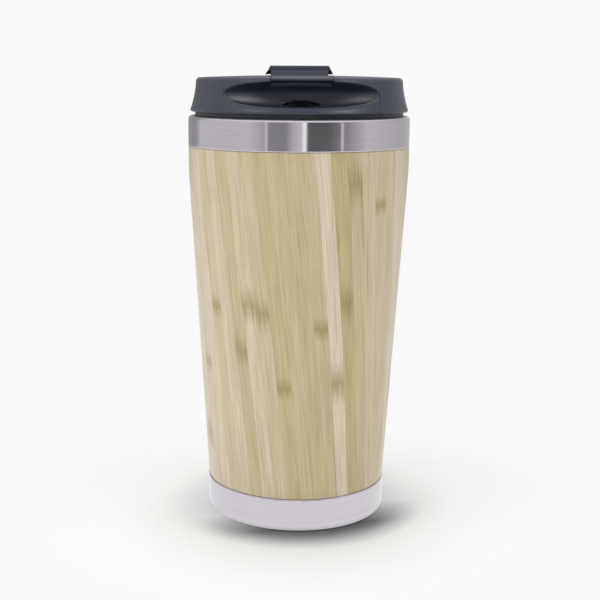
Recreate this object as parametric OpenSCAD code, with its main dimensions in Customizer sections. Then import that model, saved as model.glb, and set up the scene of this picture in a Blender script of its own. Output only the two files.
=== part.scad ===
// Bamboo travel cup: a steel drinking vessel hung in a tapered bamboo sleeve,
// with a steel collar, a steel base and a press-on sipping lid.
// It stands on the XY plane with its axis on Z, and the drinking side faces -Y.

/* [Cup] */
// Height of the brim above the floor
cup_h = 161.2; // [150:0.2:170]
// Outer diameter of the steel collar
collar_d = 88; // [86:0.5:90]
// Height of the collar that shows above the bamboo
collar_h = 12; // [8:0.5:16]
// Radius of the collar's shoulder at the brim
shoulder_r = 1.4; // [1:0.1:2]
// How far the base's side stands in from the collar's side
taper_w = 7.5; // [6:0.1:8.5]
// Height of the base that shows below the bamboo
base_h = 13.2; // [10:0.2:16]
// Radius of the base's bottom edge
base_round_r = 2.2; // [1.4:0.1:3]
// Width of the flat ring that the cup stands on
foot_w = 1.4; // [1:0.1:2]
// Depth of the recess under the base
recess_h = 2.4; // [1.6:0.1:3]
// Thickness of the steel sheet
steel_t = 0.8; // [0.6:0.1:1]
// Length of the steel skirts that hold the bamboo from inside
skirt_h = 12; // [8:0.5:16]
// Small round or bevel on the edges at a joint
joint_edge = 0.5; // [0.3:0.1:0.8]

/* [Bamboo sleeve] */
// Wall of the sleeve
bamboo_t = 4; // [3.4:0.2:4.6]
// Straight stretch of the sleeve below the collar
straight_h = 4.2; // [2:0.2:8]
// Radius of the bend from the straight stretch into the taper
bend_r = 150; // [100:5:250]
// How far the sleeve's foot stands back from the base
foot_setback = 0.3; // [0:0.1:0.6]
// Glue gap between the sleeve and the steel skirts
glue_gap = 0.1; // [0.05:0.05:0.15]

/* [Drinking vessel] */
// Width of the brim from the collar's side to the mouth
brim_w = 5.6; // [5.4:0.1:6.4]
// Straight neck under the brim that the lid plugs into
neck_h = 14; // [13:0.5:20]
// Space from the base's side to the foot of the vessel's taper
vessel_foot_space = 7; // [6.5:0.1:8.5]
// Height of the vessel's inside floor
vessel_floor_z = 7.2; // [6.8:0.2:12]
// Radius of the vessel's inside corner
vessel_corner_r = 6; // [4:0.5:9]
// Radius of the rolled inner edge of the brim
brim_r = 1.6; // [1.2:0.1:2]
// Step pressed into the disc under the cup
disc_step = 0.8; // [0.4:0.1:1]
// Width of the flat rim outside that step
disc_rim_w = 12.9; // [9:0.1:18]

/* [Lid] */
// Gap between the brim and the lid's skirt, where the rim shows
rim_h = 1.6; // [1.2:0.1:2.4]
// How far the rim in that gap stands in from the collar's side
rim_setback = 2.7; // [2:0.1:3]
// How far the lid's skirt stands in from the collar's side
skirt_setback = 0.8; // [0:0.1:1.3]
// How far the lid's wall flares out to its skirt
flare_w = 2.3; // [1.7:0.1:2.7]
// Height of the lid's wall and crown edge together
lid_wall_h = 13.2; // [12.8:0.1:14.5]
// Round between the wall and the crown
crown_edge_r = 1.7; // [1.4:0.1:2.2]
// Rise of the crown from its edge to its middle
crown_rise = 0.9; // [0.5:0.1:1.1]
// How strongly the flare gathers at the skirt
flare_power = 1.6; // [1.2:0.1:2.4]
// Wall of the lid mouldings
lid_t = 1.6; // [1.4:0.1:1.8]
// Height of the joint where the lid's two mouldings overlap
spigot_h = 4; // [3:0.2:5]

/* [Drinking scoop] */
// How much less than the lid's radius the hollow's half width is
scoop_side = 4.2; // [3.8:0.1:6]
// Half depth of the hollow from front to back
scoop_d = 19; // [17:0.2:19]
// Half height of the hollow
scoop_h = 4.9; // [4.6:0.1:5]
// Distance of the hollow's middle in from the lid's wall
scoop_inset = 0.5; // [0:0.1:0.9]
// Height of the hollow's middle above the brim
scoop_z = 8.9; // [8.7:0.1:9]
// Width of the sip hole
port_w = 12.4; // [10:0.2:13]
// Length of the sip hole from front to back
port_l = 7.6; // [6:0.2:8]
// Distance of the sip hole's middle in from the plug's inside
port_inset = 6.3; // [6.2:0.1:7.2]

/* [Plug] */
// Gap between the plug's ribs and the vessel's neck
plug_gap = 0.5; // [0.4:0.05:0.7]
// Depth of the plug below the brim
plug_h = 11.7; // [10.5:0.1:12]
// Depth of the gasket's groove
groove_d = 1; // [0.8:0.1:1.2]
// Height of the gasket's groove
groove_h = 2.8; // [2.4:0.1:3.4]
// Height of each rib beside the groove
rib_h = 1; // [0.8:0.1:1.2]
// Distance from the plug's lower edge to its lower rib
rib_z = 3; // [1.5:0.1:3.2]
// Depth of the plug's floor below the brim
plug_floor_depth = 1.2; // [1:0.1:1.6]
// Gap between the gasket's lips and the vessel's neck
lip_gap = 0.25; // [0.2:0.05:0.35]
// Diameter of the air hole in the plug's floor
air_hole_d = 3; // [2:0.2:4]

/* [Thumb slide] */
// Travel of the slide from closed to open
slide_travel = 10.5; // [10:0.1:11.5]
// Width of the slide's plate
plate_w = 22.6; // [20:0.2:24]
// Thickness of the slide's plate
plate_t = 1.6; // [1.4:0.1:1.7]
// Rear end of the plate behind the axis
plate_back = 4.6; // [4:0.2:6]
// Running gap round every sliding piece
run_gap = 0.3; // [0.25:0.05:0.35]
// How far the channel's floor reaches over the hollow
floor_reach = 4; // [2.6:0.2:5]
// Height of the thumb grip above the crown
grip_h = 3.7; // [3.2:0.1:4.5]
// Radius of the grip's rounded ridge
ridge_r = 1.3; // [1:0.1:1.5]
// Distance of the ridge in front of the axis
ridge_y = 3.4; // [2:0.2:5]
// Wall of the grip's two legs
leg_t = 1.5; // [1.2:0.1:1.8]
// Distance from the ridge forward to the front leg's foot
front_reach = 3.2; // [2:0.2:4]
// Width of the ridge
ridge_w = 24; // [22:0.2:25]
// Width of the rear leg at its foot
rear_foot_w = 27.4; // [26:0.2:28]
// Width of the front leg at its top
front_top_w = 22.8; // [21:0.2:24]
// Width of the front leg at its foot
front_foot_w = 21.8; // [20:0.2:22.4]
// Width of the post that carries the shutter
post_w = 12; // [9:0.5:13]
// Length of the post from front to back
post_l = 5; // [4:0.2:5.6]
// Distance of the post's middle behind the hollow's wall
post_back = 5.8; // [5.5:0.1:6.4]

/* [Shutter] */
// Width of the shutter's blade
blade_w = 18; // [16.8:0.2:19]
// Thickness of the blade
blade_t = 1.4; // [1.2:0.1:1.6]
// Wall of the socket that grips the post
socket_t = 1.5; // [1.2:0.1:1.8]
// Height of the socket above the blade
socket_h = 4.3; // [3:0.1:5]
// How far the sealing pad reaches beyond the sip hole
pad_lap = 1.6; // [1.2:0.1:1.8]
// Thickness of the sealing pad
pad_t = 1; // [0.8:0.1:1.1]
// Height of the rails that guide the blade
rail_h = 1.6; // [1:0.1:2]
// Width of each rail
rail_w = 1.4; // [1:0.1:2]

/* [Colours] */
// Brushed stainless steel
steel_color = "#c9c8cc";
// Laminated bamboo
bamboo_color = "#cbb888";
// Black polypropylene of the lid
lid_color = "#3b3f48";
// Black silicone of the seals
seal_color = "#24262a";

/* [Hidden] */
// Facets of a turned surface and steps of a rounded edge, a long bend and a flare
$fn = 128;
edge_steps = 6;
bend_steps = 8;
flare_steps = 10;
// Overrun of a cut past the face that it opens
over = 0.5;
// Clearance of a press or glue joint between two pieces of the lid
joint_gap = 0.1;

// Cup, from the sizes above
collar_r = collar_d / 2;
base_r = collar_r - taper_w;
mouth_r = collar_r - brim_w;
collar_z = cup_h - collar_h;
sleeve_foot_r = base_r - foot_setback;
brim_edge_r = collar_r - shoulder_r;
top_skirt_r = collar_r - bamboo_t + steel_t;
foot_skirt_r = sleeve_foot_r - bamboo_t + steel_t;
bend_z = collar_z - straight_h;
foot_in_r = base_r - base_round_r - foot_w;
disc_flange_w = 3 * foot_w;
disc_z = recess_h + steel_t;
vessel_corner_x = base_r - vessel_foot_space - vessel_corner_r;
vessel_corner_z = vessel_floor_z + vessel_corner_r;
neck_z = cup_h - neck_h;

// Lid, from the sizes above
rim_r = collar_r - rim_setback;
skirt_r = collar_r - skirt_setback;
lid_r = skirt_r - flare_w;
lid_z = cup_h + rim_h;
crown_z = lid_z + lid_wall_h;
crown_top_z = crown_z + crown_rise;
flare_top_z = crown_z - crown_edge_r;
spigot_r = lid_r - lid_t / 2;
plug_rib_r = mouth_r - plug_gap;
plug_r = plug_rib_r - groove_d;
plug_in_r = plug_r - lid_t;
plug_z = cup_h - plug_h;
seat_z = cup_h + joint_gap;
groove_z = plug_z + rib_z + rib_h;
plug_floor_z = cup_h - plug_floor_depth;
scoop_w = lid_r - scoop_side;
scoop_y = lid_r - scoop_inset;
port_y = plug_in_r - port_inset;

// Slide and shutter, from the sizes above
channel_z = crown_top_z - plate_t - 2 * run_gap + joint_gap;
plate_z = channel_z + run_gap;
channel_w = plate_w + 2 * run_gap;
floor_front_y = scoop_y - scoop_d + floor_reach;
post_y = scoop_y - scoop_d - lid_t - post_back;
channel_back = plate_back + slide_travel + run_gap;
blade_z = plug_floor_z + run_gap;
pad_z = blade_z + blade_t;
port_end_z = pad_z + pad_t + run_gap;
ridge_z = crown_top_z + grip_h - ridge_r;
rear_foot_z = crown_top_z + run_gap;
blade_front_y = port_y + port_l / 2 + pad_lap + joint_gap;
blade_back_y = post_y - post_l / 2 - socket_t - 2 * joint_gap;
rail_x = blade_w / 2 + run_gap;

// Points of an arc about (x, y) from angle a to angle b
function arc(x, y, r, a, b, steps) =
  [for (i = [0 : steps]) let (t = a + (b - a) * i / steps) [x + r * cos(t), y + r * sin(t)]];

// Lean of a straight wall that rises from a corner round to the point (x, z)
function wall_lean(x, z, r) =
  let (across = x - vessel_corner_x, up = z - vessel_corner_z)
  acos(r / norm([across, up])) - atan2(up, across);

// Lean of the taper that is tangent to the sleeve's bend and ends at its foot
function taper_lean() =
  let (across = sleeve_foot_r - collar_r + bend_r, up = bend_z - base_h)
  atan2(up, across) - acos(bend_r / norm([across, up]));

// Outline of the sleeve from the foot up, moved inwards by a wall
function sleeve_side(wall) =
  concat([[sleeve_foot_r - wall, base_h]],
         arc(collar_r - bend_r - wall, bend_z, bend_r, -taper_lean(), 0, bend_steps),
         [[collar_r - wall, collar_z]]);

// Outline of the vessel from the middle of its floor up to the brim's roll,
// moved outwards by a wall
function vessel_side(wall) =
  let (lean = wall_lean(mouth_r, neck_z, vessel_corner_r))
  concat([[0, vessel_floor_z - wall]],
         arc(vessel_corner_x, vessel_corner_z, vessel_corner_r + wall, -90, -lean, edge_steps),
         [[mouth_r + wall, neck_z - wall * tan(lean / 2)]],
         arc(mouth_r + brim_r, cup_h - brim_r, brim_r - wall, 180, 90, edge_steps),
         [[brim_edge_r, cup_h - wall]]);

// Domed line of the crown from its edge to the middle, moved down by a wall
function crown_line(wall) =
  [for (i = [1 : flare_steps]) let (t = i / flare_steps)
    [(lid_r - crown_edge_r) * (1 - t), crown_z - wall + crown_rise * (1 - pow(1 - t, 2))]];

// Outline of the lid's outside from the skirt up to the middle of the crown
function lid_side() =
  concat([[0, lid_z], [skirt_r - joint_edge, lid_z]],
         [for (i = [0 : flare_steps]) let (t = i / flare_steps)
           [lid_r + flare_w * pow(1 - t, flare_power),
            lid_z + joint_edge + (flare_top_z - lid_z - joint_edge) * t]],
         arc(lid_r - crown_edge_r, flare_top_z, crown_edge_r, 0, 90, edge_steps), crown_line(0));

module turned(points) {
  rotate_extrude() polygon(points);
}

module ring(inner_r, outer_r, low, high) {
  turned([[inner_r, low], [outer_r, low], [outer_r, high], [inner_r, high]]);
}

module block(x0, x1, y0, y1, z0, z1) {
  translate([x0, y0, z0]) cube([x1 - x0, y1 - y0, z1 - z0]);
}

module ellipsoid(half_w, half_l, half_h) {
  scale([half_w, half_l, half_h]) sphere(r = 1);
}

module oval(width, length, low, high) {
  translate([0, 0, low]) linear_extrude(high - low) scale([width / 2, length / 2]) circle(r = 1);
}

// Drawn steel liner with its brim rolled out to meet the collar
module inner_vessel() {
  color(steel_color) turned(concat(vessel_side(0), [for (i = [len(vessel_side(0)) - 1 : -1 : 0])
    vessel_side(steel_t)[i]]));
}

// Bright band at the top, with a ledge on the bamboo and a skirt inside it
module collar_ring() {
  color(steel_color) turned(concat(
    arc(collar_r - shoulder_r, cup_h - shoulder_r, shoulder_r, 90, 0, edge_steps),
    arc(collar_r - joint_edge, collar_z + joint_edge, joint_edge, 0, -90, edge_steps),
    [[top_skirt_r, collar_z], [top_skirt_r, collar_z - skirt_h],
     [top_skirt_r - steel_t, collar_z - skirt_h], [top_skirt_r - steel_t, collar_z + steel_t],
     [collar_r - steel_t, collar_z + steel_t]],
    arc(collar_r - shoulder_r, cup_h - shoulder_r, shoulder_r - steel_t, 0, 90, edge_steps)));
}

// Turned tube of laminated bamboo, rebated inside at both ends for the steel skirts
module bamboo_sleeve() {
  side = sleeve_side(0);
  last = len(side) - 1;
  color(bamboo_color) difference() {
    turned(concat(
      [[0, base_h], [sleeve_foot_r - joint_edge, base_h],
       [sleeve_foot_r + joint_edge * tan(taper_lean()), base_h + joint_edge]],
      [for (i = [1 : last - 1]) side[i]],
      [[collar_r, collar_z - joint_edge], [collar_r - joint_edge, collar_z], [0, collar_z]]));
    turned(concat([[0, base_h - over], [sleeve_foot_r - bamboo_t, base_h - over]],
      sleeve_side(bamboo_t), [[collar_r - bamboo_t, collar_z + over], [0, collar_z + over]]));
    ring(0, top_skirt_r + glue_gap, collar_z - skirt_h - glue_gap, collar_z + over);
    ring(0, foot_skirt_r + glue_gap, base_h - over, base_h + skirt_h + glue_gap);
  }
}

// Drawn steel base: a skirt inside the bamboo, the bright band and the rolled foot
module base_cap() {
  color(steel_color) turned(concat(
    [[foot_skirt_r - steel_t, base_h + skirt_h], [foot_skirt_r, base_h + skirt_h],
     [foot_skirt_r, base_h]],
    arc(base_r - joint_edge, base_h - joint_edge, joint_edge, 90, 0, edge_steps),
    arc(base_r - base_round_r, base_round_r, base_round_r, 0, -90, edge_steps),
    [[foot_in_r, 0], [foot_in_r, recess_h], [foot_in_r - disc_flange_w, recess_h],
     [foot_in_r - disc_flange_w, disc_z], [foot_in_r + steel_t, disc_z],
     [foot_in_r + steel_t, steel_t]],
    arc(base_r - base_round_r, base_round_r, base_round_r - steel_t, -90, 0, edge_steps),
    [[base_r - steel_t, base_h - steel_t], [foot_skirt_r - steel_t, base_h - steel_t]]));
}

// Pressed disc that closes the base, welded onto its inner flange
module base_disc() {
  step_r = foot_in_r - disc_rim_w;
  color(steel_color) turned([
    [0, disc_z + disc_step], [step_r - disc_step, disc_z + disc_step], [step_r, disc_z],
    [foot_in_r, disc_z], [foot_in_r, disc_z + steel_t],
    [step_r + disc_step / 2, disc_z + steel_t],
    [step_r - disc_step / 2, disc_z + steel_t + disc_step], [0, disc_z + steel_t + disc_step]]);
}

// Hollow in the front of the lid that the lips close round, grown by a wall
module scoop(grow) {
  translate([0, -scoop_y, cup_h + scoop_z])
    ellipsoid(scoop_w + grow, scoop_d + grow, scoop_h + grow);
}

// Space inside the lid's upper moulding, before its inner walls are put back
module lid_hollow() {
  turned(concat([[0, lid_z - over], [spigot_r, lid_z - over], [spigot_r, lid_z + spigot_h],
                 [lid_r - lid_t, lid_z + spigot_h], [lid_r - lid_t, flare_top_z],
                 [lid_r - crown_edge_r, crown_z - lid_t]], crown_line(lid_t)));
}

// Upper moulding: flared wall, crown, drinking hollow, sip hole and slide channel
module lid_shell() {
  front = -skirt_r;
  color(lid_color) difference() {
    turned(lid_side());
    difference() {
      lid_hollow();
      scoop(lid_t);
      block(-channel_w / 2 - lid_t, channel_w / 2 + lid_t, front, channel_back + lid_t,
            channel_z - lid_t, crown_top_z);
      translate([0, -port_y, 0])
        oval(port_w + 2 * pad_lap, port_l + 2 * pad_lap, port_end_z, cup_h + scoop_z);
    }
    scoop(0);
    block(-channel_w / 2, channel_w / 2, front, channel_back, channel_z, crown_top_z + over);
    block(-channel_w / 2, channel_w / 2, front, -floor_front_y, cup_h + scoop_z, crown_z);
    block(-post_w / 2 - run_gap, post_w / 2 + run_gap, -post_y - post_l / 2 - run_gap,
          -post_y + post_l / 2 + slide_travel + run_gap, channel_z - lid_t - over, crown_z);
    translate([0, -port_y, 0]) oval(port_w, port_l, port_end_z - over, cup_h + scoop_z);
  }
}

// Lower moulding: rim that rests on the brim, plug with the gasket's groove,
// floor with the passage to the sip hole, and the rails of the shutter
module lid_insert() {
  color(lid_color) {
    difference() {
      union() {
        ring(plug_in_r, rim_r, seat_z, lid_z);
        ring(plug_in_r, plug_r, plug_z, seat_z + over);
        ring(plug_r - over, plug_rib_r, groove_z - rib_h, groove_z);
        ring(plug_r - over, plug_rib_r, groove_z + groove_h, groove_z + groove_h + rib_h);
        ring(0, plug_in_r + over, plug_floor_z - lid_t, plug_floor_z);
        ring(spigot_r - lid_t, spigot_r - joint_gap, lid_z - over, lid_z + spigot_h - joint_gap);
        for (side = [-1, 1])
          translate([side * (rail_x + rail_w / 2), 0, 0])
            block(-rail_w / 2, rail_w / 2, -port_y, port_y / 2,
                  plug_floor_z - over, plug_floor_z + rail_h);
      }
      scoop(lid_t + joint_gap);
      translate([0, -port_y, 0])
        oval(port_w, port_l, plug_floor_z - lid_t - over, plug_floor_z + over);
      translate([0, port_y, 0])
        oval(air_hole_d, air_hole_d, plug_floor_z - lid_t - over, plug_floor_z + over);
    }
  }
}

// Silicone ring with two lips that wipe the vessel's neck
module lid_gasket() {
  root_r = plug_r + joint_gap;
  body_r = plug_rib_r - groove_d / 2;
  lip_r = mouth_r - lip_gap;
  low = groove_z + joint_gap;
  high = groove_z + groove_h - joint_gap;
  lip_h = (high - low) / 4;
  color(seal_color) turned([
    [root_r, low], [body_r, low], [lip_r, low + lip_h / 2], [lip_r, low + lip_h],
    [body_r, low + 3 * lip_h / 2], [body_r, high - 3 * lip_h / 2],
    [lip_r, high - lip_h], [lip_r, high - lip_h / 2], [body_r, high], [root_r, high]]);
}

// Round bar along X, for the rounded edges of the thumb grip
module rod(width, y, z, r) {
  translate([-width / 2, y, z]) rotate([0, 90, 0]) cylinder(r = r, h = width);
}

// Front view of the thumb grip, tapered from its foot to two rounded shoulders
module grip_front(foot_z, top_w, foot_w) {
  top_z = ridge_z + ridge_r + joint_gap;
  low_z = foot_z - leg_t / 2 - joint_gap;
  rotate([90, 0, 0]) linear_extrude(4 * plate_w, center = true) polygon(concat(
    arc(top_w / 2 - ridge_r, top_z - ridge_r, ridge_r, 0, 90, edge_steps),
    arc(ridge_r - top_w / 2, top_z - ridge_r, ridge_r, 90, 180, edge_steps),
    [[-foot_w / 2, low_z], [foot_w / 2, low_z]]));
}

// One leg of the thumb grip, a slab from the ridge down to a foot
module grip_leg(foot_y, foot_z, top_w, foot_w) {
  run = [foot_y + ridge_y, foot_z - ridge_z];
  edge = leg_t / 2 * [-run[1], run[0]] / norm(run);
  intersection() {
    rotate([90, 0, 90]) linear_extrude(top_w + foot_w, center = true) polygon([
      [-ridge_y + edge[0], ridge_z + edge[1]], [foot_y + edge[0], foot_z + edge[1]],
      [foot_y - edge[0], foot_z - edge[1]], [-ridge_y - edge[0], ridge_z - edge[1]]]);
    grip_front(foot_z, top_w, foot_w);
  }
}

// Sliding closure that the thumb moves: plate in the crown, hollow grip and post
module thumb_slide() {
  plate_top = plate_z + plate_t;
  heel_y = plate_back - leg_t / 2;
  heel_z = rear_foot_z + leg_t / 2;
  color(lid_color) {
    intersection() {
      block(-plate_w / 2, plate_w / 2, -lid_r, plate_back, plate_z, plate_top);
      turned(lid_side());
    }
    grip_leg(-ridge_y - front_reach, plate_top - leg_t / 2, front_top_w, front_foot_w);
    grip_leg(heel_y, heel_z, ridge_w, rear_foot_w);
    block(-plate_w / 2, plate_w / 2, plate_back - leg_t, plate_back, plate_z, heel_z);
    intersection() {
      union() {
        rod(ridge_w, -ridge_y, ridge_z, ridge_r);
        rod(rear_foot_w, heel_y, heel_z, leg_t / 2);
      }
      grip_front(heel_z, ridge_w, rear_foot_w);
    }
    block(-post_w / 2, post_w / 2, -post_y - post_l / 2, -post_y + post_l / 2,
          pad_z + joint_gap, plate_z + over);
  }
}

// Blade under the sip hole with a socket that snaps onto the slide's post
module shutter() {
  front = blade_front_y - blade_w / 2;
  pocket_w = post_w + 2 * joint_gap;
  pocket_l = post_l + 2 * joint_gap;
  color(lid_color) difference() {
    union() {
      translate([0, -front, blade_z]) cylinder(d = blade_w, h = blade_t);
      block(-blade_w / 2, blade_w / 2, -front, -blade_back_y, blade_z, pad_z);
      block(-pocket_w / 2 - socket_t, pocket_w / 2 + socket_t, -post_y - pocket_l / 2 - socket_t,
            -post_y + pocket_l / 2 + socket_t, pad_z - over, pad_z + socket_h);
    }
    block(-pocket_w / 2, pocket_w / 2, -post_y - pocket_l / 2, -post_y + pocket_l / 2,
          pad_z, pad_z + socket_h + over);
  }
}

// Silicone pad on the blade that closes the sip hole from below
module shutter_pad() {
  color(seal_color) translate([0, -port_y, 0])
    oval(port_w + 2 * pad_lap, port_l + 2 * pad_lap, pad_z, pad_z + pad_t);
}

inner_vessel();
collar_ring();
bamboo_sleeve();
base_cap();
base_disc();
lid_shell();
lid_insert();
lid_gasket();
thumb_slide();
shutter();
shutter_pad();
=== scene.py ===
import math
import random

import bpy
from bpy.props import FloatProperty, FloatVectorProperty, IntProperty, PointerProperty
from bpy.types import Operator, Panel, PropertyGroup
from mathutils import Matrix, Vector


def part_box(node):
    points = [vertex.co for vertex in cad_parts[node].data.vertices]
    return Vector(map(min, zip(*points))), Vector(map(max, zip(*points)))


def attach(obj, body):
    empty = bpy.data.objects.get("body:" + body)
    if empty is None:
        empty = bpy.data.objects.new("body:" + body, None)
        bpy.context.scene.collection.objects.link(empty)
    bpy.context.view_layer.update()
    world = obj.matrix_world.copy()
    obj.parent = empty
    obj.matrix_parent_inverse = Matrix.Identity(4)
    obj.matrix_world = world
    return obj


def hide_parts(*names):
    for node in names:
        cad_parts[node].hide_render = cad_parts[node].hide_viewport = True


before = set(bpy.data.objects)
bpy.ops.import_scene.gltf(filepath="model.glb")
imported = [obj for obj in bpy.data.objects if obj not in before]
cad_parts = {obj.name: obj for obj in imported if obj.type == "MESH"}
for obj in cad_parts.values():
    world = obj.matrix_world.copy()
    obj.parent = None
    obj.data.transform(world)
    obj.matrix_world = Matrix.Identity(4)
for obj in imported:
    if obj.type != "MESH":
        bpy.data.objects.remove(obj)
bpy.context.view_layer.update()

bl_info = {
    "name": "Bamboo travel cup",
    "version": (1, 0, 0),
    "blender": (4, 5, 0),
    "location": "View3D > Sidebar > Cup",
    "description": "Finishes the steel, bamboo, lid and closure of a bamboo travel cup",
    "category": "Object",
}

MM = 0.001

CUP_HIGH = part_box("collar_ring")[1]
SLEEVE_LOW, SLEEVE_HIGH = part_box("bamboo_sleeve")
BASE_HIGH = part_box("base_cap")[1]
SHELL_LOW, SHELL_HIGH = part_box("lid_shell")
PAD_LOW, PAD_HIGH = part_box("shutter_pad")
# the sleeve's foot stands a little inside the base's side
FOOT_SETBACK = 0.3 * MM
FOOT_R = BASE_HIGH[0] - FOOT_SETBACK
# columns of faces in each bamboo strip
STRIP_COLUMNS = 4
# how far off the hollow's ellipsoid, as a share of its size, a point still counts as on it
HOLLOW_SKIN = 0.012


def linear(code):
    """sRGB hex colour to the linear values that the shaders take, with full alpha."""
    parts = [int(code[i:i + 2], 16) / 255 for i in (1, 3, 5)]
    lit = [c / 12.92 if c <= 0.04045 else ((c + 0.055) / 1.055) ** 2.4 for c in parts]
    return tuple(lit) + (1.0,)


def colour(code, name, description):
    return FloatVectorProperty(name=name, description=description, subtype="COLOR", size=4,
                               min=0, max=1, default=linear(code))


def length(size, name, description):
    return FloatProperty(name=name, description=description, default=size, unit="LENGTH")


class CUP_PG_steel(PropertyGroup):
    """Brushed stainless steel of the collar, base and vessel"""
    sheet: colour("#d8d3da", "Sheet", "Colour of the brushed sheet")
    outer: FloatProperty(name="Outer roughness",
                         description="Roughness of the collar, base and disc",
                         default=0.13, min=0.03, max=1, subtype="FACTOR")
    inner: FloatProperty(name="Inner roughness", description="Roughness of the vessel",
                         default=0.4, min=0.03, max=1, subtype="FACTOR")
    scratch: length(0.45 * MM, "Brush pitch", "Distance between the coarser brush lines")


class CUP_PG_bamboo(PropertyGroup):
    """Laminated bamboo of the sleeve"""
    pale: colour("#dfd0b9", "Pale strip", "Colour of the palest strips")
    deep: colour("#cab894", "Deep strip", "Colour of the deepest strips")
    olive: colour("#beae7a", "Olive strip", "Colour of the green-yellow strips")
    knot: colour("#8c7c3f", "Knot", "Colour of the knots across a strip")
    fibre: colour("#98893f", "Fibre", "Colour of the dark fibre bundles")
    strips: IntProperty(name="Strips", description="Strips round the sleeve", default=46, min=12)
    lean: FloatProperty(name="Lean", description="Most that the strips lean off the cup's axis",
                        default=math.radians(6.5), subtype="ANGLE")
    fibre_w: length(0.3 * MM, "Fibre width", "Width of a fibre bundle")
    knot_h: length(7.5 * MM, "Knot height", "Half height of the dark patch at a knot")
    straight: length(4.2 * MM, "Straight", "Straight stretch under the collar")
    bend: length(150 * MM, "Bend", "Radius of the bend into the taper")
    wall: length(4 * MM, "Wall", "Wall of the sleeve")
    rebate: length(12.1 * MM, "Rebate", "Height of the rebates for the steel skirts")
    skirt_in: length(3.1 * MM, "Rebate depth", "From the side to the rebate's wall")
    foot_step: length(0.8 * MM, "Foot step", "How much wider than the wall's foot the bore starts")
    edge: length(0.5 * MM, "Edge", "Round on the sleeve's edges")


class CUP_PG_lid(PropertyGroup):
    """Black polypropylene of the lid and its closure"""
    shell: colour("#323846", "Lid", "Colour of the moulded lid")
    # black, set darker than the lid's colour as painted shade in the gap under the lid
    insert: colour("#22262f", "Insert", "Colour of the lid's inner moulding")
    slide: colour("#2e3242", "Slide", "Colour of the thumb slide")
    seal: colour("#26282c", "Seal", "Colour of the silicone")
    satin: FloatProperty(name="Satin", description="Roughness of the lid's upper moulding",
                         default=0.36, min=0.05, max=1, subtype="FACTOR")
    matt: FloatProperty(name="Matt", description="Roughness of the inner moulding and the closure",
                        default=0.4, min=0.05, max=1, subtype="FACTOR")
    spark: length(0.45 * MM, "Texture", "Grain of the spark-eroded mould")
    edge: length(2.6 * MM, "Lip edge", "Soft round where the drinking hollow meets the wall")
    line_x: length(29.3 * MM, "Parting line", "How far right of the axis the parting line runs")
    line_y: length(20 * MM, "Parting line start", "How far in front of the axis the line begins")
    line_w: length(0.7 * MM, "Parting line width", "Width of the parting line")
    hollow_w: length(36.7 * MM, "Hollow width", "Half width of the drinking hollow")
    hollow_d: length(19 * MM, "Hollow depth", "Half depth of the hollow from front to back")
    hollow_h: length(4.9 * MM, "Hollow height", "Half height of the hollow")
    hollow_y: length(40.4 * MM, "Hollow place", "From the axis forward to the hollow's middle")
    hollow_z: length(8.9 * MM, "Hollow level", "Height of the hollow's middle above the brim")
    scoop: FloatProperty(name="Scoop",
                         description="Share of the floor's upward lean that the shading keeps",
                         default=0.08, min=0, max=1, subtype="FACTOR")
    fine_edge: length(0.4 * MM, "Fine edge", "Soft round on the inner moulding's edges")
    grip_edge: length(1.3 * MM, "Grip edge", "Soft round on the thumb slide's edges")


class CUP_PG_stage(PropertyGroup):
    """Floor, backdrop, lamps and camera"""
    paper: colour("#fafbfb", "Paper", "Colour of the floor and backdrop")
    camera_distance: length(471 * MM, "Distance", "Camera in front of the cup's axis")
    camera_left: length(13.2 * MM, "Offset", "Camera to the left of the cup's axis")
    camera_height: length(178.2 * MM, "Height", "Camera above the floor")
    pitch: FloatProperty(name="Pitch", description="Camera's tilt down", subtype="ANGLE",
                         default=math.radians(11.06))
    roll: FloatProperty(name="Roll", description="Camera's roll", subtype="ANGLE",
                        default=math.radians(0.24))
    sensor: FloatProperty(name="Sensor", description="Width of the camera's sensor in millimetres",
                          subtype="DISTANCE_CAMERA", default=36)
    lens: FloatProperty(name="Lens", description="Focal length in millimetres", default=70.08,
                        subtype="DISTANCE_CAMERA")
    shift: FloatProperty(name="Shift", description="Sideways shift, in widths of the picture",
                         default=35 / 600, min=-1, max=1, subtype="FACTOR")
    mirrored: FloatProperty(name="Mirrored room", description="Strength of the room in mirrors",
                            default=0.9, min=0, max=2, subtype="FACTOR")
    ambient: FloatProperty(name="Room light", description="Strength of the light from all round",
                           default=0.62, min=0, max=2, subtype="FACTOR")
    floor: length(1.6, "Floor", "Side of the square floor")
    # the contact shadow is painted into the paper's colour; these set where it falls and how far
    shadow_turn: FloatProperty(name="Shadow", description="Direction of the contact shadow",
                               default=math.radians(-76), subtype="ANGLE")
    shadow_reach: length(18 * MM, "Shadow reach", "How far from the cup the contact shadow reaches")


def sizes():
    return bpy.context.scene.cup


def new_material(name):
    """Empty node material with its output, and its node tree."""
    material = bpy.data.materials.new(name)
    material.use_nodes = True
    tree = material.node_tree
    tree.nodes.clear()
    return material, tree


def add(tree, kind, links=(), **settings):
    """Adds a node, sets its properties and sockets, and links its inputs."""
    node = tree.nodes.new(kind)
    for key, value in settings.items():
        if hasattr(node, key):
            setattr(node, key, value)
        else:
            node.inputs[key.replace("_", " ")].default_value = value
    for socket, source in dict(links).items():
        tree.links.new(source, node.inputs[socket])
    return node


def maths(tree, operation, first, second=None, third=None):
    """One Math node; plain numbers are set on its sockets and sockets are linked."""
    node = tree.nodes.new("ShaderNodeMath")
    node.operation = operation
    for index, value in enumerate((first, second, third)):
        if value is None:
            continue
        if isinstance(value, (int, float)):
            node.inputs[index].default_value = value
        else:
            tree.links.new(value, node.inputs[index])
    return node.outputs[0]


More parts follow.
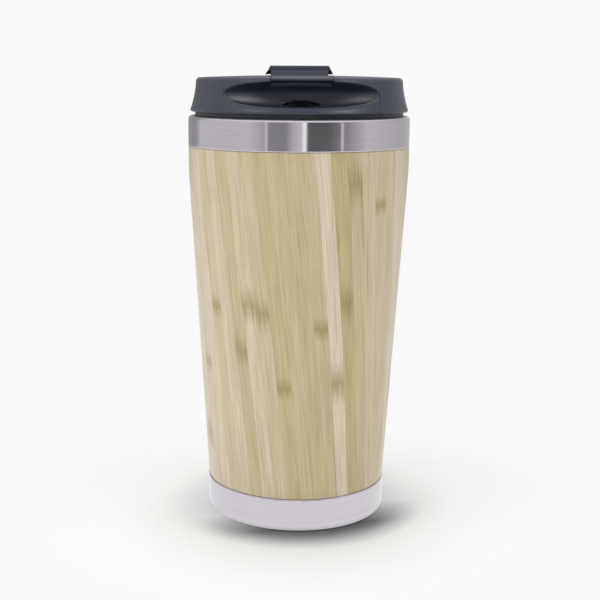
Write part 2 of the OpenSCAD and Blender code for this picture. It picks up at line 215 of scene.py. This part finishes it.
def ramp(tree, factor, stops):
    """Straight colour ramp from (position, colour) stops."""
    node = add(tree, "ShaderNodeValToRGB", {"Fac": factor})
    node.color_ramp.interpolation = "LINEAR"
    elements = node.color_ramp.elements
    while len(elements) < len(stops):
        elements.new(1)
    for element, (position, shade) in zip(elements, stops):
        element.position = position
        element.color = shade
    return node.outputs["Color"]


def grey(value):
    return (value, value, value, 1)


def mix(tree, blend, factor, first, second):
    """Mixes two colours; plain values are set on the sockets."""
    node = tree.nodes.new("ShaderNodeMix")
    node.data_type = "RGBA"
    node.blend_type = blend
    for index, value in ((0, factor), (6, first), (7, second)):
        if isinstance(value, (int, float, tuple)):
            node.inputs[index].default_value = value
        else:
            tree.links.new(value, node.inputs[index])
    return node.outputs[2]


def surface(tree, shader):
    add(tree, "ShaderNodeOutputMaterial", {"Surface": shader.outputs[0]})


def stretched(tree, scale):
    """Object coordinates in metres, stretched by a scale per axis."""
    place = add(tree, "ShaderNodeTexCoord")
    drawn = add(tree, "ShaderNodeMapping", {"Vector": place.outputs["Object"]}, Scale=scale)
    return drawn.outputs[0]


def clear_selection():
    if bpy.context.object and bpy.context.object.mode != "OBJECT":
        bpy.ops.object.mode_set(mode="OBJECT")
    bpy.ops.object.select_all(action="DESELECT")


def activate(piece):
    clear_selection()
    piece.select_set(True)
    bpy.context.view_layer.objects.active = piece


def lathe(name, profile, segments):
    """Turns a closed or open profile of (radius, height) points into a ring of quads."""
    clear_selection()
    radius, height = profile[0]
    bpy.ops.mesh.primitive_circle_add(vertices=segments, radius=radius, location=(0, 0, height),
                                      rotation=(0, 0, -math.pi / 2))
    piece = bpy.context.object
    piece.name = name
    bpy.ops.object.transform_apply(location=True, rotation=True, scale=True)
    bpy.ops.object.mode_set(mode="EDIT")
    bpy.ops.mesh.select_all(action="SELECT")
    for next_radius, next_height in profile[1:]:
        rise = (0, 0, next_height - height)
        bpy.ops.mesh.extrude_region_move(TRANSFORM_OT_translate={"value": rise})
        share = next_radius / radius
        bpy.ops.transform.resize(value=(share, share, 1), center_override=(0, 0, next_height))
        radius, height = next_radius, next_height
    bpy.ops.mesh.select_all(action="SELECT")
    bpy.ops.mesh.remove_doubles(threshold=0.001 * MM)
    bpy.ops.mesh.normals_make_consistent(inside=False)
    bpy.ops.object.mode_set(mode="OBJECT")
    return piece


def smooth(piece, angle):
    activate(piece)
    bpy.ops.object.shade_smooth_by_angle(angle=math.radians(angle))


def finish_piece(piece, body, material):
    piece.data.materials.clear()
    piece.data.materials.append(material)
    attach(piece, body)


def finish_node(node, material):
    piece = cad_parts[node]
    piece.data.materials.clear()
    piece.data.materials.append(material)


def arc(x, y, radius, start, end, steps):
    """Points of an arc about (x, y) between two angles in degrees."""
    turns = [math.radians(start + (end - start) * i / steps) for i in range(steps + 1)]
    return [(x + radius * math.cos(t), y + radius * math.sin(t)) for t in turns]


def brushed_steel(name, roughness):
    """Drawn 304 stainless steel, brushed round the axis on a lathe: fine rings that smear each
    reflection up and down, so the sheet shows upright bands of light and dark."""
    steel = sizes().steel
    material, tree = new_material(name)
    pitch = 1 / steel.scratch
    rings = add(tree, "ShaderNodeTexNoise",
                {"Vector": stretched(tree, (pitch / 90, pitch / 90, pitch))},
                Scale=1, Detail=4, Roughness=0.7)
    broad = add(tree, "ShaderNodeTexNoise", {"Vector": stretched(tree, (30, 30, 300))},
                Scale=1, Detail=2)
    tone = mix(tree, "MULTIPLY", 1.0, tuple(steel.sheet),
               ramp(tree, rings.outputs["Fac"], [(0.3, grey(0.9)), (0.7, grey(1))]))
    rough = maths(tree, "MULTIPLY_ADD", broad.outputs["Fac"], 0.06, roughness - 0.03)
    bump = add(tree, "ShaderNodeBump", {"Height": rings.outputs["Fac"]},
               Strength=0.1, Distance=0.02 * MM)
    tangent = add(tree, "ShaderNodeTangent", direction_type="RADIAL", axis="Z")
    shader = add(tree, "ShaderNodeBsdfPrincipled",
                 {"Base Color": tone, "Roughness": rough, "Normal": bump.outputs[0],
                  "Tangent": tangent.outputs[0]},
                 Metallic=1.0, Anisotropic=0.93, Anisotropic_Rotation=0.25)
    surface(tree, shader)
    return material


def parting_line_shade_mask(tree):
    """1 in a thin line down the wall from the hollow's right end, where the mould closed, and 0
    elsewhere: where the lid's colour is painted near black as the shade in the seam's groove."""
    lid = sizes().lid
    place = add(tree, "ShaderNodeTexCoord")
    split = add(tree, "ShaderNodeSeparateXYZ", {"Vector": place.outputs["Object"]})
    away = maths(tree, "ABSOLUTE", maths(tree, "SUBTRACT", split.outputs["X"], lid.line_x))
    line = ramp(tree, maths(tree, "DIVIDE", away, lid.line_w), [(0.3, grey(1)), (0.5, grey(0))])
    below = maths(tree, "LESS_THAN", split.outputs["Z"], (SHELL_LOW[2] + SHELL_HIGH[2]) / 2 + MM)
    front = maths(tree, "LESS_THAN", split.outputs["Y"], -lid.line_y)
    return maths(tree, "MULTIPLY", line, maths(tree, "MULTIPLY", below, front))


def hollow_normal(tree, plain):
    """Leans the shading of the drinking hollow's floor towards the drinker, as a softer scoop, and
    leaves the rest of the lid as it is."""
    lid = sizes().lid
    half = (lid.hollow_w, lid.hollow_d, lid.hollow_h)
    middle = (0, -lid.hollow_y, CUP_HIGH[2] + lid.hollow_z)
    place = add(tree, "ShaderNodeTexCoord")
    inside = add(tree, "ShaderNodeVectorMath", {0: place.outputs["Object"]}, operation="SUBTRACT")
    inside.inputs[1].default_value = middle
    scaled = add(tree, "ShaderNodeVectorMath", {0: inside.outputs[0]}, operation="DIVIDE")
    scaled.inputs[1].default_value = half
    reach = add(tree, "ShaderNodeVectorMath", {0: scaled.outputs[0]}, operation="LENGTH")
    away = maths(tree, "ABSOLUTE", maths(tree, "SUBTRACT", reach.outputs["Value"], 1))
    on_it = maths(tree, "LESS_THAN", away, HOLLOW_SKIN)
    split = add(tree, "ShaderNodeSeparateXYZ", {"Vector": plain})
    rise = maths(tree, "MINIMUM", split.outputs["Z"],
                 maths(tree, "MULTIPLY", split.outputs["Z"], lid.scoop))
    leant = add(tree, "ShaderNodeCombineXYZ",
                {"X": split.outputs["X"], "Y": split.outputs["Y"], "Z": rise})
    bent = add(tree, "ShaderNodeVectorMath", {0: leant.outputs[0]}, operation="NORMALIZE")
    blend = add(tree, "ShaderNodeMix", data_type="VECTOR")
    tree.links.new(on_it, blend.inputs[0])
    tree.links.new(plain, blend.inputs[4])
    tree.links.new(bent.outputs[0], blend.inputs[5])
    return blend.outputs[1]


def sip_hole_shade_mask(tree):
    """1 in and close round the sip hole, in the hollow's floor over the shutter's pad, and 0
    elsewhere: where the lid's colour is painted near black as the shade inside the hole."""
    place = add(tree, "ShaderNodeTexCoord")
    away = add(tree, "ShaderNodeVectorMath", {0: place.outputs["Object"]}, operation="SUBTRACT")
    away.inputs[1].default_value = (0, (PAD_LOW[1] + PAD_HIGH[1]) / 2, 0)
    scaled = add(tree, "ShaderNodeVectorMath", {0: away.outputs[0]}, operation="DIVIDE")
    endless = 1e9
    scaled.inputs[1].default_value = (PAD_HIGH[0], (PAD_HIGH[1] - PAD_LOW[1]) / 2, endless)
    reach = add(tree, "ShaderNodeVectorMath", {0: scaled.outputs[0]}, operation="LENGTH")
    split = add(tree, "ShaderNodeSeparateXYZ", {"Vector": place.outputs["Object"]})
    low = maths(tree, "LESS_THAN", split.outputs["Z"], CUP_HIGH[2] + sizes().lid.hollow_z)
    near = ramp(tree, reach.outputs["Value"], [(0.85, grey(1)), (1.0, grey(0))])
    return maths(tree, "MULTIPLY", low, near)


def moulded_plastic(name, shade, roughness, edge, hollow=False):
    """Polypropylene from a spark-eroded mould: a satin skin with a fine, soft grain and soft edges.
    The upper moulding also gets its parting line and its sip hole, both painted near black as
    painted shade in their groove and hole, and the softer scoop of its drinking hollow."""
    lid = sizes().lid
    material, tree = new_material(name)
    grain = add(tree, "ShaderNodeTexNoise", {"Vector": stretched(tree, (1, 1, 1))},
                Scale=1 / lid.spark, Detail=3)
    cloud = add(tree, "ShaderNodeTexNoise", {"Vector": stretched(tree, (1, 1, 1))},
                Scale=90, Detail=2)
    tone = mix(tree, "MULTIPLY", 1.0, tuple(shade),
               ramp(tree, cloud.outputs["Fac"], [(0.35, grey(0.93)), (0.65, grey(1))]))
    if hollow:
        # the seam is painted near black: painted shade in its groove
        line = maths(tree, "MULTIPLY", parting_line_shade_mask(tree), 0.85)
        tone = mix(tree, "MIX", line, tone, grey(0.004))
    rough = maths(tree, "MULTIPLY_ADD", cloud.outputs["Fac"], 0.08, roughness - 0.04)
    soft = add(tree, "ShaderNodeBevel", samples=8, Radius=edge).outputs[0]
    if hollow:
        soft = hollow_normal(tree, soft)
        hole = sip_hole_shade_mask(tree)
        # the sip hole's rim and walls are painted near black: painted shade
        tone = mix(tree, "MIX", maths(tree, "MULTIPLY", hole, 0.9), tone, grey(0.002))
    bump = add(tree, "ShaderNodeBump", {"Height": grain.outputs["Fac"], "Normal": soft},
               Strength=0.12, Distance=0.03 * MM)
    shader = add(tree, "ShaderNodeBsdfPrincipled",
                 {"Base Color": tone, "Roughness": rough, "Normal": bump.outputs[0]}, IOR=1.49)
    if hollow:
        # the rim mirrors the gloss boxes less, so that the hole stays one dark opening
        gloss = maths(tree, "MULTIPLY_ADD", hole, -0.45, 0.5)
        tree.links.new(gloss, shader.inputs["Specular IOR Level"])
    surface(tree, shader)
    return material


def moulded_silicone():
    """Moulded silicone: nearly black, matt, with a faint cloudiness."""
    material, tree = new_material("moulded_silicone")
    cloud = add(tree, "ShaderNodeTexNoise", {"Vector": stretched(tree, (1, 1, 1))},
                Scale=400, Detail=2)
    tone = mix(tree, "MULTIPLY", 1.0, tuple(sizes().lid.seal),
               ramp(tree, cloud.outputs["Fac"], [(0.35, grey(0.85)), (0.65, grey(1))]))
    shader = add(tree, "ShaderNodeBsdfPrincipled", {"Base Color": tone}, Roughness=0.6, IOR=1.41)
    surface(tree, shader)
    return material


def laminated_bamboo():
    """Moso bamboo, split, pressed into strips and lacquered. The UV map Strips counts the strips
    across and metres up; Knots holds the height above the strip's knot and the strip's tone."""
    bamboo = sizes().bamboo
    material, tree = new_material("laminated_bamboo")
    strips = add(tree, "ShaderNodeUVMap", uv_map="Strips")
    split = add(tree, "ShaderNodeSeparateXYZ", {"Vector": strips.outputs[0]})
    across = maths(tree, "FRACT", split.outputs["X"])
    index = maths(tree, "FLOOR", split.outputs["X"])
    knots = add(tree, "ShaderNodeUVMap", uv_map="Knots")
    knot_split = add(tree, "ShaderNodeSeparateXYZ", {"Vector": knots.outputs[0]})

    # metres across the strips and up, with each strip's grain started elsewhere
    strip_w = math.tau * SLEEVE_HIGH[0] / bamboo.strips
    along = maths(tree, "MULTIPLY_ADD", index, 0.37, split.outputs["Y"])
    sheet = add(tree, "ShaderNodeCombineXYZ",
                {"X": maths(tree, "MULTIPLY", split.outputs["X"], strip_w), "Y": along})

    def grain(width, long, detail):
        """Noise drawn out along the strip, width across and long up in metres."""
        drawn = add(tree, "ShaderNodeMapping", {"Vector": sheet.outputs[0]},
                    Scale=(1 / width, 1 / long, 1))
        return add(tree, "ShaderNodeTexNoise", {"Vector": drawn.outputs[0]},
                   Scale=1, Detail=detail, Roughness=0.6).outputs["Fac"]

    fine = grain(bamboo.fibre_w, 90 * bamboo.fibre_w, 2)
    bundles = grain(3 * bamboo.fibre_w, 130 * bamboo.fibre_w, 3)
    cloud = grain(14 * bamboo.fibre_w, 110 * bamboo.fibre_w, 3)
    shade = ramp(tree, knot_split.outputs["Y"],
                 [(0.0, tuple(bamboo.pale)), (0.45, tuple(bamboo.deep)),
                  (1.0, tuple(bamboo.olive))])
    shade = mix(tree, "MULTIPLY", 1.0, shade,
                ramp(tree, fine, [(0.3, grey(0.79)), (0.7, grey(1.1))]))
    shade = mix(tree, "MULTIPLY", 0.8, shade,
                ramp(tree, cloud, [(0.3, grey(0.86)), (0.7, grey(1.06))]))
    dark = ramp(tree, bundles, [(0.54, grey(0)), (0.72, grey(1))])
    shade = mix(tree, "MIX", maths(tree, "MULTIPLY", dark, 0.52), shade, tuple(bamboo.fibre))
    # glue line on each side of a strip
    edge = maths(tree, "ABSOLUTE", maths(tree, "SUBTRACT", across, 0.5))
    glue = ramp(tree, edge, [(0.46, grey(0)), (0.498, grey(1))])
    shade = mix(tree, "MIX", maths(tree, "MULTIPLY", glue, 0.13), shade, tuple(bamboo.knot))
    # knot: a ragged darker patch that the fibre bundles run through, with a thin line across it
    fray = 16 * MM
    ragged = maths(tree, "MULTIPLY_ADD", bundles, fray, knot_split.outputs["X"])
    away = maths(tree, "ABSOLUTE", maths(tree, "SUBTRACT", ragged, fray / 2))
    patch = ramp(tree, maths(tree, "DIVIDE", away, bamboo.knot_h),
                 [(0.1, grey(1)), (1.0, grey(0))])
    patch = maths(tree, "MULTIPLY", patch,
                  ramp(tree, fine, [(0.3, grey(1)), (0.65, grey(0.45))]))
    line_at = maths(tree, "MULTIPLY_ADD", cloud, 2 * MM, knot_split.outputs["X"])
    off_line = maths(tree, "ABSOLUTE", maths(tree, "SUBTRACT", line_at, MM))
    line = ramp(tree, maths(tree, "DIVIDE", off_line, MM), [(0.2, grey(1)), (0.7, grey(0))])
    shade = mix(tree, "MIX", maths(tree, "MULTIPLY", patch, 0.85), shade, tuple(bamboo.knot))
    shade = mix(tree, "MIX", maths(tree, "MULTIPLY", line, 0.12), shade, tuple(bamboo.knot))
    bump = add(tree, "ShaderNodeBump", {"Height": bundles}, Strength=0.12, Distance=0.05 * MM)
    rough = maths(tree, "MULTIPLY_ADD", dark, 0.1, 0.42)
    shader = add(tree, "ShaderNodeBsdfPrincipled",
                 {"Base Color": shade, "Roughness": rough, "Normal": bump.outputs[0]},
                 IOR=1.5, Coat_Weight=0.3, Coat_Roughness=0.3)
    surface(tree, shader)
    return material


# Knots on the drinking side: degrees right of the front, metres above the floor, and size
FRONT_KNOTS = [
    (31, 0.138, 1.2), (48, 0.129, 0.5), (-28, 0.091, 1.0), (-21, 0.088, 1.1), (-48, 0.0885, 0.6),
    (-37, 0.073, 1.0), (28, 0.092, 1.2), (10, 0.0825, 0.7), (20, 0.061, 1.1), (27, 0.065, 0.7),
    (-5, 0.059, 0.6), (-66, 0.064, 0.5)]
# Degrees to either side of the front where no knot shows but these
FRONT_SIDE = 62
# Tones of the strips on the drinking side: degrees right of the front at middle height, and a tone
# from 0 for pale to 1 for olive
FRONT_TONES = [
    (-75, 0.15), (-66, 0.25), (-58, 0.15), (-50, 0.35), (-42, 0.2), (-34, 0.5), (-27, 0.3),
    (-19, 0.35), (-11, 0.7), (-3, 0.45), (5, 0.65), (13, 0.5), (20, 0.05), (29, 0.85), (37, 0.45),
    (46, 0.3), (55, 0.35), (64, 0.2), (73, 0.3)]


def map_strips(piece):
    """Writes the UV maps Strips and Knots from each face's angle and height."""
    rng = random.Random(7)
    count = sizes().bamboo.strips
    span = 360 / count
    clear = 60 * MM
    far = SLEEVE_HIGH[2] + clear
    knots, tones = [], []
    for strip in range(count):
        middle = (strip + 0.5) * span - 180
        shown = []
        for degrees, height, size in FRONT_KNOTS:
            turned = middle + math.degrees(strip_turn(math.radians(middle), height))
            if abs(turned - degrees) < span / 2:
                shown.append((height, size))
        spread = rng.uniform(SLEEVE_LOW[2] - clear, far)
        knots.append(shown[0] if shown else (far if abs(middle) < FRONT_SIDE else spread, 1))
        degrees, tone = min(FRONT_TONES, key=lambda pair: abs(pair[0] - middle))
        if abs(degrees - middle) >= span:
            tone = rng.uniform(0, 0.9)
        tones.append(tone + rng.uniform(-0.05, 0.05))
    mesh = piece.data
    strip_map = mesh.uv_layers.new(name="Strips")
    knot_map = mesh.uv_layers.new(name="Knots")
    for face in mesh.polygons:
        centre = (math.atan2(face.center.x, -face.center.y) / math.tau + 0.5) * count
        strip = int(centre) % count
        for loop in face.loop_indices:
            point = mesh.vertices[mesh.loops[loop].vertex_index].co
            place = (math.atan2(point.x, -point.y) / math.tau + 0.5) * count
            place -= count * round((place - centre) / count)
            inner = min(max(place - math.floor(centre), 0.001), 0.999)
            strip_map.data[loop].uv = (strip + inner, point.z)
            height, size = knots[strip]
            knot_map.data[loop].uv = ((point.z - height) / size, tones[strip])


class CUP_OT_steel(Operator):
    """Brushes the steel collar, base, vessel and disc"""
    bl_idname = "cup.steel"
    bl_label = "Brush steel"

    def execute(self, context):
        steel = sizes().steel
        outer = brushed_steel("brushed_stainless_steel", steel.outer)
        for node in ("collar_ring", "base_cap", "base_disc"):
            finish_node(node, outer)
        finish_node("inner_vessel", brushed_steel("drawn_stainless_steel", steel.inner))
        return {"FINISHED"}


def sleeve_outside():
    """Radius and height of the sleeve's side from the foot up: a straight taper, a long bend and a
    straight stretch under the collar, as on the CAD sleeve."""
    bamboo = sizes().bamboo
    foot_r, top_r = FOOT_R, SLEEVE_HIGH[0]
    bend_z = SLEEVE_HIGH[2] - bamboo.straight
    bend = bamboo.bend
    across, up = foot_r - top_r + bend, bend_z - SLEEVE_LOW[2]
    lean = math.degrees(math.atan2(up, across) - math.acos(bend / math.hypot(across, up)))
    curve = arc(top_r - bend, bend_z, bend, -lean, 0, 14)
    edge = bamboo.edge
    start = (foot_r + edge * math.tan(math.radians(lean)), SLEEVE_LOW[2] + edge)
    rows = 26
    run, climb = curve[0][0] - start[0], curve[0][1] - start[1]
    taper = [(start[0] + run * i / rows, start[1] + climb * i / rows) for i in range(1, rows)]
    foot = arc(foot_r - edge, SLEEVE_LOW[2] + edge, edge, -90, -20, 3)
    top = arc(top_r - edge, SLEEVE_HIGH[2] - edge, edge, 0, 90, 4)
    return foot + [start] + taper + curve[:-1] + top


def strip_turn(angle, height):
    """How far round a strip has moved at a height. The board was rolled into a cone, so its strips
    follow the taper at the back and lean across it at the front, most a little right of it."""
    bamboo = sizes().bamboo
    most = math.radians(5)
    share = (1 + math.cos(angle - most)) / 2
    above = height - (SLEEVE_LOW[2] + SLEEVE_HIGH[2]) / 2
    return -math.tan(bamboo.lean) * share / SLEEVE_HIGH[0] * above


def lean_strips(piece):
    """Moves each vertex round by the lean of its strip, so the columns follow the strips."""
    for vertex in piece.data.vertices:
        radius = math.hypot(vertex.co.x, vertex.co.y)
        angle = math.atan2(vertex.co.x, -vertex.co.y)
        angle += strip_turn(angle, vertex.co.z)
        vertex.co.x, vertex.co.y = radius * math.sin(angle), -radius * math.cos(angle)


class CUP_OT_sleeve(Operator):
    """Turns the bamboo sleeve from laminated strips"""
    bl_idname = "cup.sleeve"
    bl_label = "Turn bamboo sleeve"

    def execute(self, context):
        bamboo = sizes().bamboo
        side = sleeve_outside()
        wall = bamboo.wall
        low, high = SLEEVE_LOW[2], SLEEVE_HIGH[2]
        foot_in, top_in = FOOT_R - bamboo.skirt_in, SLEEVE_HIGH[0] - bamboo.skirt_in
        rebate_top, rebate_foot = high - bamboo.rebate, low + bamboo.rebate
        inside = [(top_in, high), (top_in, rebate_top), (SLEEVE_HIGH[0] - wall, rebate_top),
                  (FOOT_R - wall + bamboo.foot_step, rebate_foot), (foot_in, rebate_foot),
                  (foot_in, low)]
        profile = side + inside + [side[0]]
        piece = lathe("bamboo_turning", profile, bamboo.strips * STRIP_COLUMNS)
        map_strips(piece)
        lean_strips(piece)
        smooth(piece, 35)
        finish_piece(piece, "cup", laminated_bamboo())
        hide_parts("bamboo_sleeve")
        return {"FINISHED"}


class CUP_OT_lid(Operator):
    """Finishes the lid's two mouldings and its gasket"""
    bl_idname = "cup.lid"
    bl_label = "Mould lid"

    def execute(self, context):
        lid = sizes().lid
        shell = moulded_plastic("spark_textured_polypropylene", lid.shell, lid.satin, lid.edge,
                                hollow=True)
        finish_node("lid_shell", shell)
        insert = moulded_plastic("moulded_polypropylene", lid.insert, lid.matt, lid.fine_edge)
        finish_node("lid_insert", insert)
        finish_node("lid_gasket", moulded_silicone())
        return {"FINISHED"}


class CUP_OT_closure(Operator):
    """Finishes the thumb slide, the shutter and its pad"""
    bl_idname = "cup.closure"
    bl_label = "Mould closure"

    def execute(self, context):
        lid = sizes().lid
        slide = moulded_plastic("satin_polypropylene", lid.slide, lid.matt, lid.grip_edge)
        for node in ("thumb_slide", "shutter"):
            finish_node(node, slide)
        finish_node("shutter_pad", moulded_silicone())
        return {"FINISHED"}


def studio_world(context):
    """Bright room with a darker stretch behind the camera, which the steel mirrors as upright
    bands."""
    world = bpy.data.worlds.new("studio")
    context.scene.world = world
    world.use_nodes = True
    tree = world.node_tree
    tree.nodes.clear()
    ray = add(tree, "ShaderNodeLightPath")
    direction = add(tree, "ShaderNodeTexCoord")
    split = add(tree, "ShaderNodeSeparateXYZ", {"Vector": direction.outputs["Generated"]})
    # turn to the right of straight behind the camera, as a share of a half turn
    behind = maths(tree, "MULTIPLY", split.outputs["Y"], -1)
    turn = maths(tree, "DIVIDE", maths(tree, "ARCTAN2", split.outputs["X"], behind), math.pi)
    place = maths(tree, "MULTIPLY_ADD", turn, 0.5, 0.5)
    # windows and dark walls, seen in the collar from its left edge to its right
    bands = ramp(tree, place, [
        (0.13, grey(0.4)), (0.16, grey(0.75)), (0.35, grey(0.75)), (0.4, grey(0.5)),
        (0.405, grey(1)), (0.41, grey(0.3)), (0.46, grey(0.3)), (0.48, grey(0.6)),
        (0.505, grey(0.8)), (0.51, grey(1.5)), (0.515, grey(1.5)), (0.52, grey(0.1)),
        (0.58, grey(0.1)), (0.615, grey(0.2)), (0.62, grey(1.2)), (0.625, grey(0.25)),
        (0.7, grey(0.75)), (0.85, grey(0.6))])
    height = maths(tree, "MULTIPLY_ADD", split.outputs["Z"], 0.5, 0.5)
    level = ramp(tree, height, [(0.25, grey(0)), (0.4, grey(1)), (0.7, grey(1)), (0.84, grey(0))])
    seen = mix(tree, "MIX", level, grey(1), bands)
    stage = sizes().stage
    glossy = add(tree, "ShaderNodeBackground", {"Color": seen}, Strength=stage.mirrored)
    diffuse = add(tree, "ShaderNodeBackground", Color=grey(1), Strength=stage.ambient)
    plain = add(tree, "ShaderNodeBackground", Color=grey(0.95), Strength=1.0)
    first = add(tree, "ShaderNodeMixShader",
                {0: ray.outputs["Is Glossy Ray"], 1: diffuse.outputs[0], 2: glossy.outputs[0]})
    straight = maths(tree, "MAXIMUM", ray.outputs["Is Camera Ray"],
                     ray.outputs["Is Transmission Ray"])
    last = add(tree, "ShaderNodeMixShader",
               {0: straight, 1: first.outputs[0], 2: plain.outputs[0]})
    add(tree, "ShaderNodeOutputWorld", {"Surface": last.outputs[0]})


def paper_material():
    """White seamless paper: matt, with a painted contact shadow round the cup, and white to the
    camera away from the cup's shadow.
    """
    stage = sizes().stage
    material, tree = new_material("seamless_paper")
    fibre = add(tree, "ShaderNodeTexNoise", {"Vector": stretched(tree, (1, 1, 1))},
                Scale=900, Detail=2)
    tone = mix(tree, "MULTIPLY", 1.0, tuple(stage.paper),
               ramp(tree, fibre.outputs["Fac"], [(0.3, grey(0.985)), (0.7, grey(1))]))
    close = add(tree, "ShaderNodeAmbientOcclusion", samples=8, Distance=stage.shadow_reach)
    # painted contact shadow: ambient occlusion darkens the paper's colour, most towards the camera
    # and a little right
    place = add(tree, "ShaderNodeTexCoord")
    toward = add(tree, "ShaderNodeVectorMath", {0: place.outputs["Object"]},
                 operation="DOT_PRODUCT")
    aim, base_r = stage.shadow_turn, BASE_HIGH[0]
    toward.inputs[1].default_value = (math.cos(aim) / base_r, math.sin(aim) / base_r, 0)
    front = ramp(tree, toward.outputs["Value"], [(0.3, grey(0.05)), (0.85, grey(1))])
    tone = mix(tree, "MULTIPLY", front, tone, ramp(tree, close.outputs["AO"], [
        (0.45, grey(0.13)), (0.7, grey(0.22)), (0.84, grey(0.55)), (0.98, grey(1))]))
    shader = add(tree, "ShaderNodeBsdfPrincipled", {"Base Color": tone}, Roughness=0.9,
                 Specular_IOR_Level=0.1)
    away = add(tree, "ShaderNodeVectorMath", {0: place.outputs["Object"]}, operation="LENGTH")
    ray = add(tree, "ShaderNodeLightPath")
    # metres from the axis where the paper turns white to the camera, and where the foot mirrors it
    far = ramp(tree, away.outputs["Value"], [(0.05, grey(0)), (0.12, grey(1))])
    foot = ramp(tree, away.outputs["Value"], [(0.034, grey(0.6)), (0.039, grey(1))])
    shown = maths(tree, "MULTIPLY", far, ray.outputs["Is Camera Ray"])
    mirrored = maths(tree, "MULTIPLY", foot, ray.outputs["Is Glossy Ray"])
    white = add(tree, "ShaderNodeEmission", Color=grey(0.95), Strength=1.0)
    glow = maths(tree, "MAXIMUM", shown, mirrored)
    surface(tree, add(tree, "ShaderNodeMixShader",
                      {0: glow, 1: shader.outputs[0], 2: white.outputs[0]}))
    return material


def add_lamp(name, place, target, size, power):
    clear_selection()
    bpy.ops.object.light_add(type="AREA", location=place)
    lamp = bpy.context.object
    lamp.name = name
    lamp.data.shape = "RECTANGLE"
    lamp.data.size, lamp.data.size_y = size
    lamp.data.energy = power
    lamp.rotation_euler = (Vector(target) - Vector(place)).to_track_quat("-Z", "Y").to_euler()
    return lamp


class CUP_OT_stage(Operator):
    """Sets the floor, the backdrop, the lamps and the camera"""
    bl_idname = "cup.stage"
    bl_label = "Set stage"

    def execute(self, context):
        stage = sizes().stage
        context.scene.view_settings.view_transform = "Standard"
        studio_world(context)
        clear_selection()
        bpy.ops.mesh.primitive_plane_add(size=stage.floor, location=(0, 0, 0))
        floor = context.object
        floor.name = "floor"
        floor.data.materials.append(paper_material())
        middle = (0, 0, CUP_HIGH[2] / 2)
        lid_pieces = bpy.data.collections.new("lid_pieces")
        lid_pieces.objects.link(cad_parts["lid_shell"])
        for name, place, size, power in (
                ("softbox_left", (-0.75, -0.35, 0.55), (0.6, 0.9), 2.4),
                ("softbox_right", (0.8, -0.25, 0.6), (0.6, 0.9), 1.3),
                ("softbox_fill", (0, -0.9, 0.25), (0.5, 0.3), 1.0),
                ("gloss_left", (-0.62, -0.62, 0.40), (0.35, 0.2), 2.0),
                ("gloss_right", (0.62, -0.62, 0.40), (0.35, 0.2), 3.4),
                ("softbox_top", (0, 0.12, 1.2), (0.3, 0.3), 3.2)):
            lamp = add_lamp(name, place, middle, size, power)
            # the gloss boxes are only mirrored, in the lid, and the softboxes only light
            lamp.visible_glossy = name.startswith("gloss")
            lamp.visible_diffuse = not lamp.visible_glossy
            if lamp.visible_glossy:
                lamp.light_linking.receiver_collection = lid_pieces
        place = (-stage.camera_left, -stage.camera_distance, stage.camera_height)
        bpy.ops.object.camera_add(location=place, rotation=(math.pi / 2 - stage.pitch, 0, 0))
        camera = context.object
        camera.rotation_euler.rotate_axis("Z", stage.roll)
        camera.data.sensor_width = stage.sensor
        camera.data.lens = stage.lens
        camera.data.shift_x = stage.shift
        context.scene.camera = camera
        return {"FINISHED"}


class CUP_PG_all(PropertyGroup):
    """Sizes and colours of the cup"""
    steel: PointerProperty(type=CUP_PG_steel)
    bamboo: PointerProperty(type=CUP_PG_bamboo)
    lid: PointerProperty(type=CUP_PG_lid)
    stage: PointerProperty(type=CUP_PG_stage)


class CUP_PT_panel(Panel):
    """Lists the cup's pieces and their sizes"""
    bl_idname = "CUP_PT_panel"
    bl_label = "Bamboo travel cup"
    bl_space_type = "VIEW_3D"
    bl_region_type = "UI"
    bl_category = "Cup"

    def draw(self, context):
        for operator in OPERATORS:
            self.layout.operator(operator.bl_idname)
        for name in ("steel", "bamboo", "lid", "stage"):
            group = getattr(context.scene.cup, name)
            box = self.layout.box()
            box.label(text=name.capitalize())
            for key in group.__annotations__:
                box.prop(group, key)


OPERATORS = (CUP_OT_stage, CUP_OT_steel, CUP_OT_sleeve, CUP_OT_lid, CUP_OT_closure)
GROUPS = (CUP_PG_steel, CUP_PG_bamboo, CUP_PG_lid, CUP_PG_stage, CUP_PG_all)
CLASSES = GROUPS + (CUP_PT_panel,) + OPERATORS


def register():
    for item in CLASSES:
        bpy.utils.register_class(item)
    bpy.types.Scene.cup = PointerProperty(type=CUP_PG_all)


def unregister():
    del bpy.types.Scene.cup
    for item in reversed(CLASSES):
        bpy.utils.unregister_class(item)


def main():
    register()
    for operator in OPERATORS:
        group, name = operator.bl_idname.split(".")
        getattr(getattr(bpy.ops, group), name)()


if __name__ == "__main__":
    main()
